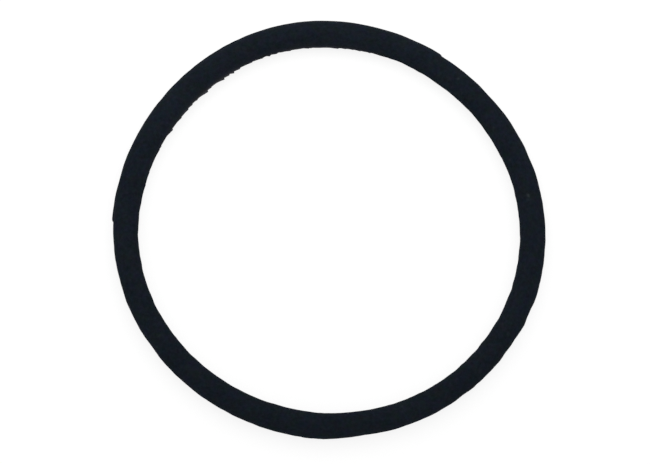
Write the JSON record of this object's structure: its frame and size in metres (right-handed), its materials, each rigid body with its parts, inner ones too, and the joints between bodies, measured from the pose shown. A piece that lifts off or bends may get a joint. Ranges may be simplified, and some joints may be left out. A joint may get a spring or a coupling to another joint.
{
  "type": "rubber o-ring",
  "caption": "Plain rubber sealing ring with a round section, moulded in one piece, that seals a joint when it is squeezed in a groove.",
  "frame": {"origin": "middle of the ring, at half its thickness", "axes": "+Z along the axis of the hole, up from the surface it lies on; the trimmed and untrimmed stretches of flash are placed by the angle from +X"},
  "size_m": [0.0606, 0.0606, 0.0036],
  "materials": {
    "rubber": "matte, moulded"
  },
  "bodies": {
    "root": {"o_ring": "rubber"}
  },
  "joints": []
}
